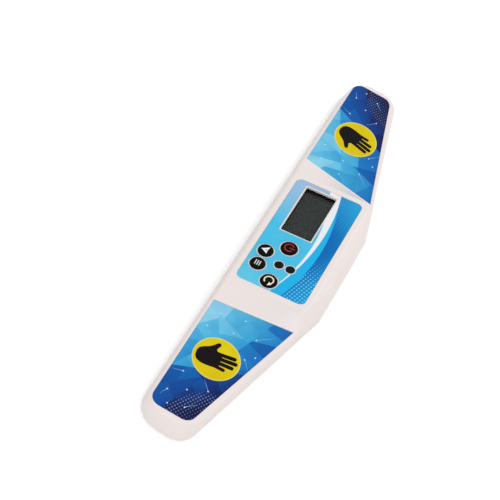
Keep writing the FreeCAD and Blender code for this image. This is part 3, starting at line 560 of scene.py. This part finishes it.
# sparks on the pads, and fine trails that lead to some of them and start thinner than they end
sparks = {
    "radius": 0.46, "flatten": 0.1, "line": 0.14, "lineStart": 0.35, "lineRise": 0.02,
    "spots": ((68, -20), (71.5, 4.5), (79, -22.5), (82, 9), (86.5, 4.6), (112, -20), (115.5, -3), (121, -13),
              (126.5, -22), (131, -9), (104, 7), (75, -8), (64, -6), (134, -18)),
    "trails": (((66.5, -26), (68, -20.6)), ((73.5, -9.5), (75, -8.3)), ((60, -1), (63.8, -5.6)),
               ((64, 13), (71, 5)), ((110, -8), (115, -3.4)), ((114, -26), (112.2, -20.6)),
               ((131, -24), (126.9, -22.2)), ((126.5, -4.5), (130.7, -8.8)), ((92, 9.5), (87, 5.1))),
    "white": {**signLook, "colour": paint(206, 232, 246), "shade": paint(176, 218, 242), "patch": 200,
              "rough": (0.29, 0.36)},
    "blue": {**signLook, "colour": paint(140, 200, 236), "shade": paint(118, 186, 230), "patch": 200,
             "rough": (0.29, 0.36)}}
sparkFinish = solidFinish("sparkWhite", sparks["white"])
trailFinish = solidFinish("trailBlue", sparks["blue"])


def stroke(points, width, low, high, closed=False, start=1):  # a flattened round line along the points
    line = bpy.data.curves.new("stroke", "CURVE")
    line.dimensions = "3D"
    run = line.splines.new("POLY")
    run.points.add(len(points) - 1)
    for knot, (x, y) in zip(run.points, points):
        knot.co = (x * mm, y * mm, 0, 1)
    run.points[0].radius = start
    run.use_cyclic_u = closed
    line.bevel_depth = width * mm
    line.bevel_resolution = 2
    line.use_fill_caps = True
    made = bpy.data.objects.new("stroke", line)
    bpy.context.scene.collection.objects.link(made)
    pickOnly(made)
    bpy.ops.object.convert(target="MESH")
    made = bpy.context.object
    made.location = (0, 0, (low + high) / 2 * mm)
    made.scale = (1, 1, (high - low) / (2 * width))
    settle(made)
    return made


for side, way in (("right", 1), ("left", -1)):
    bpy.ops.mesh.primitive_uv_sphere_add(segments=14, ring_count=8, radius=sparks["radius"] * mm)
    model = bpy.context.object
    model.scale = (1, 1, sparks["flatten"])
    settle(model)
    made = []
    for x, y in sparks["spots"]:
        spark = model.copy()
        spark.data = model.data.copy()
        bpy.context.scene.collection.objects.link(spark)
        spark.location = (way * x * mm, y * mm, filmTop * mm)
        settle(spark)
        made.append(spark)
    bpy.data.objects.remove(model)
    dust = joinAll(made, side + "_pad_sparks")
    wear(dust, sparkFinish)
    made = [stroke([(way * x0, y0), (way * x1, y1)], sparks["line"], filmTop - sparks["lineRise"],
                   filmTop + sparks["lineRise"], start=sparks["lineStart"])
            for (x0, y0), (x1, y1) in sparks["trails"]]
    trails = joinAll(made, side + "_pad_trails")
    wear(trails, trailFinish)
    for piece in (dust, trails):
        layOn(piece, wingPlane)
        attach(piece, "case")
print("sparks laid")

# console print, in its plane's millimetres; the runs are low, high, start, end
consolePrint = {
    # big circles, as x, y, radius: the white sweep's edge, its end, and the edge of the rear field
    "whiteFrom": (0, -112.8, 116), "whiteTo": (-10.6, -134, 140), "azureTo": (1.8, -115.9, 125.2), "edge": 5,
    "lavender": paint(164, 188, 224), "cyan": paint(70, 192, 232), "cyanRun": (0, 1, -40, -6),
    "pale": paint(112, 208, 232), "paleRun": (0, 0.6, 20, 44), "chipSize": 0.14, "chipDepth": 0.22,
    "swoosh": paint(240, 240, 244), "band": paint(30, 180, 234), "rear": paint(3, 108, 184),
    "bright": paint(20, 160, 218), "brightMiddle": -2, "brightSlope": 0.42, "brightRun": (0, 0.9, 15, 34),
    "dots": paint(104, 202, 244), "dotPitch": 1.95, "dotTurn": 0.3, "dotSize": (0.02, 0.33, 3, 26),
    "dotStrength": 0.9,
    "rayColour": paint(60, 178, 228), "rays": 64, "rayMiddle": (-42, 15), "rayRun": (0.75, 0, -38, -14)}


def consoleFinish():
    look = consolePrint
    finish, tree, shader = startFinish("consolePrintFilm")
    spot = planeSpot(tree, consolePlane)
    parts = tree.nodes.new("ShaderNodeSeparateXYZ")
    tree.links.new(spot, parts.inputs["Vector"])
    across, back = parts.outputs["X"], parts.outputs["Y"]

    def beyond(circle):
        x, y, radius = circle
        return softStep(tree, farFrom(tree, spot, x, y), radius, look["edge"])

    # the front field: lavender to cyan to pale, with faint chips in it
    chips = tree.nodes.new("ShaderNodeTexVoronoi")
    chips.inputs["Scale"].default_value = look["chipSize"]
    tree.links.new(spot, chips.inputs["Vector"])
    chipTone = tree.nodes.new("ShaderNodeSeparateColor")
    tree.links.new(chips.outputs["Color"], chipTone.inputs["Color"])
    field = over(tree, spread(tree, across, *look["cyanRun"]), look["lavender"], look["cyan"])
    field = over(tree, spread(tree, across, *look["paleRun"]), field, look["pale"])
    chipped = sums(tree, "MULTIPLY", chipTone.outputs["Red"], look["chipDepth"])
    field = over(tree, chipped, field, look["pale"])

    # the rear field: brighter at its ends, with dots at the right and rays at the left
    fromMiddle = sums(tree, "ABSOLUTE", sums(tree, "SUBTRACT", across, look["brightMiddle"]))
    ends = sums(tree, "MULTIPLY", fromMiddle, look["brightSlope"])
    glow = spread(tree, sums(tree, "ADD", ends, back), *look["brightRun"])
    rear = over(tree, glow, look["rear"], look["bright"])
    dotSpot = planeSpot(tree, consolePlane, look["dotTurn"], 1 / look["dotPitch"])
    dots = roundDots(tree, dotSpot, spread(tree, across, *look["dotSize"]))
    rear = over(tree, sums(tree, "MULTIPLY", dots, look["dotStrength"]), rear, look["dots"])
    rayX, rayY = look["rayMiddle"]
    aim = sums(tree, "ARCTAN2", sums(tree, "SUBTRACT", back, rayY), sums(tree, "SUBTRACT", across, rayX))
    wave = sums(tree, "SINE", sums(tree, "MULTIPLY", aim, look["rays"]))
    rays = sums(tree, "MULTIPLY", sums(tree, "ADD", wave, 1), 0.5)
    fade = spread(tree, across, *look["rayRun"])
    rear = over(tree, sums(tree, "MULTIPLY", rays, fade), rear, look["rayColour"])

    tone = over(tree, beyond(look["whiteFrom"]), field, look["swoosh"])
    tone = over(tree, beyond(look["whiteTo"]), tone, look["band"])
    behind = sums(tree, "MULTIPLY", beyond(look["whiteTo"]), beyond(look["azureTo"]))
    printFinish(tree, shader, spot, over(tree, behind, tone, rear))
    return finish


wear(nodes["console_overlay"], consoleFinish())
print("console print finished")

# display: a dark border on the glass and six unlit digits, hardly lighter than the glass
display = {
    "left": -39.6, "right": -1.8, "front": -18.2, "back": 0.9, "face": -3.45,
    "border": 1.3, "borderThick": 0.04, "overlap": 1,
    "digitWide": 4.3, "digitHigh": 9.4, "line": 0.75, "thick": 0.03, "firstX": -35.6, "digitY": -13.2,
    "steps": (0, 6.9, 12.3, 19.2, 24.6, 30.0), "points": (5.6, 17.9), "pointShift": -2.4, "pointRadius": 0.5,
    "borderLook": {"colour": paint(14, 15, 15), "shade": paint(10, 11, 11), "patch": 60,
                   "rough": (0.3, 0.4), "grain": 1500, "bump": 0.05},
    "digitLook": {"colour": paint(49, 55, 53), "shade": paint(46, 52, 50), "patch": 60,
                  "rough": (0.29, 0.34), "grain": 400, "bump": 0.02, "sheen": 0.2}}
borderFinish = solidFinish("displayBorder", display["borderLook"])
segmentFinish = solidFinish("displaySegments", display["digitLook"])


def displayBorder():  # four bars, welded at the corners
    left, right, front, back = (display[key] for key in ("left", "right", "front", "back"))
    wide = display["border"] * 2
    middleX, middleY = (left + right) / 2, (front + back) / 2
    thick = display["borderThick"]
    high = display["face"] + thick / 2
    bars = []
    long = right - left + 2 * display["overlap"]
    for x, y, across, deep in ((middleX, front, long, wide), (middleX, back, long, wide),
                               (left, middleY, wide, back - front), (right, middleY, wide, back - front)):
        bpy.ops.mesh.primitive_cube_add(size=1, location=(x * mm, y * mm, high * mm))
        bar = bpy.context.object
        bar.scale = (across * mm, deep * mm, thick * mm)
        settle(bar)
        bars.append(bar)
    return weld(bars[0], bars[1:])


def digitBars(x, y):  # three bars across and four upright ones, with gaps at the corners
    wide, high, line = display["digitWide"], display["digitHigh"], display["line"]
    low, top = display["face"], display["face"] + display["thick"]
    right, lean = x + wide / 2 - line * 0.35, wide * 0.1
    across = [flatBar(right, y + row * high / 2, line, wide - line * 1.3, math.pi / 2, low, top)
              for row in range(3)]
    upright = [flatBar(x + column * wide / 2 - lean, y + row * high / 2 + line * 0.6,
                       line, high / 2 - line * 1.2, 0, low, top)
               for row in range(2) for column in (-1, 1)]
    return across + upright


border = displayBorder()
border.name = "display_border"
wear(border, borderFinish)
layOn(border, consolePlane)
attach(border, "case")

segments = []
for step in display["steps"]:
    segments += digitBars(display["firstX"] + step, display["digitY"])
for step in display["points"]:
    segments.append(disc(display["firstX"] + step + display["pointShift"], display["digitY"],
                         display["pointRadius"], display["face"], display["face"] + display["thick"], 20))
digits = joinAll(segments, "display_segments")
wear(digits, segmentFinish)
layOn(digits, consolePlane)
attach(digits, "case")
print("display laid")

# signs on the keys: x and y are the key's middle, angles in degrees
inkLook = {"patch": 90, "rough": (0.3, 0.4), "grain": 500, "bump": 0.04, "sheen": 0.15}
whiteInk = {**inkLook, "colour": paint(250, 250, 250), "shade": paint(244, 246, 246)}
creamInk = {**inkLook, "colour": paint(252, 244, 214), "shade": paint(246, 236, 202)}
redInk = {**inkLook, "colour": paint(186, 46, 54), "shade": paint(168, 38, 46)}
keyInks = {"white": solidFinish("keyInkWhite", whiteInk), "cream": solidFinish("keyInkCream", creamInk),
           "red": solidFinish("keyInkRed", redInk)}
keySigns = {
    "power": {"x": 9.3, "y": -7.5, "ink": "red", "ring": 2.65, "line": 0.33, "arc": (125, 415),
              "bar": (0.3, 3.3)},
    "down": {"x": 17.55, "y": -18.4, "ink": "white", "pip": 0.4, "pipY": 0.3,
             "outline": ((0.2, -2.8), (1.2, -0.6), (2.5, 1.35), (0, 1.1), (-2.9, 1.6), (-1.2, -0.6))},
    "mode": {"x": 28.25, "y": -18.4, "ink": "white", "half": 1.7, "line": 0.26, "rows": (-1.3, 0, 1.3)},
    "reset": {"x": 36.5, "y": -7.5, "ink": "cream", "ring": 2.65, "line": 0.38, "arc": (20, 320),
              "head": ((-1.5, -0.2), (1.4, -0.5), (-0.1, 1.7))}}
low, high = keyTop - 0.02, keyTop + 0.03  # from just inside the key to just over it


def arc(x, y, radius, start, end, steps=28):
    turns = [math.radians(start + (end - start) * i / steps) for i in range(steps + 1)]
    return [(x + radius * math.cos(turn), y + radius * math.sin(turn)) for turn in turns]


def keySign(key, parts):
    sign = joinAll(parts, key + "_key_sign")
    wear(sign, keyInks[keySigns[key]["ink"]])
    layOn(sign, consolePlane)
    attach(sign, key + "_press")


spec = keySigns["power"]
x, y = spec["x"], spec["y"]
keySign("power", [stroke(arc(x, y, spec["ring"], *spec["arc"]), spec["line"], low, high),
                  stroke([(x, y + rise) for rise in spec["bar"]], spec["line"], low, high)])

spec = keySigns["down"]
x, y = spec["x"], spec["y"]
keySign("down", [flatShape(spec["outline"], x, y, 1, low, high, smooth=False)])
pip = disc(x, y + spec["pipY"], spec["pip"], low, high + 0.01, 24)
pip.name = "down_key_pip"
wear(pip, finishes["key_black"])
layOn(pip, consolePlane)
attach(pip, "down_press")

spec = keySigns["mode"]
x, y = spec["x"], spec["y"]
keySign("mode", [stroke([(x - spec["half"], y + row), (x + spec["half"], y + row)], spec["line"], low, high)
                 for row in spec["rows"]])

spec = keySigns["reset"]
x, y = spec["x"], spec["y"]
curve = arc(x, y, spec["ring"], *spec["arc"])
tipX, tipY = curve[0]
head = [(tipX + across, tipY + back) for across, back in spec["head"]]
keySign("reset", [stroke(curve, spec["line"], low, high),
                  flatShape(head, 0, 0, 1, low - 0.002, high + 0.002, smooth=False)])
print("key signs laid")

# white rings round the keys and the lamps: spots are x, y and the radius of what they go round
keyRings = {
    "spots": ((9.3, -7.5, 4.7), (36.5, -7.5, 4.7), (17.55, -18.4, 4.3), (28.25, -18.4, 4.3),
              (23.0, -7.5, 2.45), (22.95, -0.5, 2.45)),
    "gap": 0.32, "half": 0.26, "sunk": 0.25, "rise": 0.04, "corners": 48,
    "white": {**inkLook, "colour": paint(236, 238, 240), "shade": paint(228, 231, 234)}}
rings = []
half, corners = keyRings["half"], keyRings["corners"]
low, high = filmTop - keyRings["sunk"], filmTop + keyRings["rise"]
for x, y, radius in keyRings["spots"]:
    line = arc(x, y, radius + keyRings["gap"] + half, 0, 360 - 360 / corners, corners - 1)
    rings.append(stroke(line, half, low, high, closed=True))
rings = joinAll(rings, "key_rings")
wear(rings, solidFinish("ringWhite", keyRings["white"]))
layOn(rings, consolePlane)
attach(rings, "case")
print("key rings laid")

# floor and room: both are white to the eye and in gloss, and a little darker as light
stageLook = {"size": 6, "colour": paint(235, 235, 235), "white": (1, 1, 1, 1), "glow": 0.16,
             "rough": 0.9, "sheen": 0.1, "room": 0.82}


def eyeAndGloss(tree):  # 1 for camera rays, and 1 for those and for gloss and glass
    path = tree.nodes.new("ShaderNodeLightPath")
    eye = path.outputs["Is Camera Ray"]
    gloss = sums(tree, "MAXIMUM", path.outputs["Is Glossy Ray"], path.outputs["Is Transmission Ray"])
    return eye, sums(tree, "MAXIMUM", eye, gloss)


bpy.ops.mesh.primitive_plane_add(size=stageLook["size"], location=(0, 0, 0))
floor = bpy.context.object
floor.name = "floor"
floorFinish, tree, shader = startFinish("floorPale")
eye, seen = eyeAndGloss(tree)
tree.links.new(sums(tree, "MULTIPLY", eye, stageLook["glow"]), shader.inputs["Emission Strength"])
shader.inputs["Emission Color"].default_value = stageLook["white"]
tree.links.new(over(tree, seen, stageLook["colour"], stageLook["white"]), shader.inputs["Base Color"])
shader.inputs["Roughness"].default_value = stageLook["rough"]
shader.inputs["Specular IOR Level"].default_value = stageLook["sheen"]
wear(floor, floorFinish)

world = bpy.data.worlds.new("softRoom")
world.use_nodes = True
tree = world.node_tree
sky = tree.nodes["Background"]
sky.inputs["Color"].default_value = stageLook["white"]
eye, seen = eyeAndGloss(tree)
tree.links.new(spread(tree, seen, stageLook["room"], 1, 0, 1), sky.inputs["Strength"])
bpy.context.scene.world = world

lamps = {"key": {"at": (1.05, 0.1, 0.62), "size": 0.5, "power": 2.2},
         "rear": {"at": (-0.797, 0.351, 0.965), "size": 0.25, "power": 2.1}}
for name, lamp in lamps.items():
    bpy.ops.object.light_add(type="AREA", location=lamp["at"])
    light = bpy.context.object
    light.name = name + "_lamp"
    light.data.size = lamp["size"]
    light.data.energy = lamp["power"]
    light.rotation_euler = (-Vector(lamp["at"])).to_track_quat("-Z", "Y").to_euler()

# the camera's place and its three axes
view = {"at": (0.555138, -0.023614, 0.703723), "right": (-0.4332, 0.83718, 0.33387),
        "down": (0.66086, 0.54692, -0.51394), "ahead": (-0.61286, -0.002, -0.79019),
        "lens": 111.26, "sensor": 36, "near": 0.01}
bpy.ops.object.camera_add()
camera = bpy.context.object
turn = Matrix((Vector(view["right"]), -Vector(view["down"]), -Vector(view["ahead"]))).transposed()
camera.matrix_world = Matrix.Translation(view["at"]) @ turn.to_4x4()
camera.data.lens = view["lens"]
camera.data.sensor_width = view["sensor"]
camera.data.clip_start = view["near"]
bpy.context.scene.camera = camera
bpy.context.scene.view_settings.view_transform = "Standard"
print("stage set")
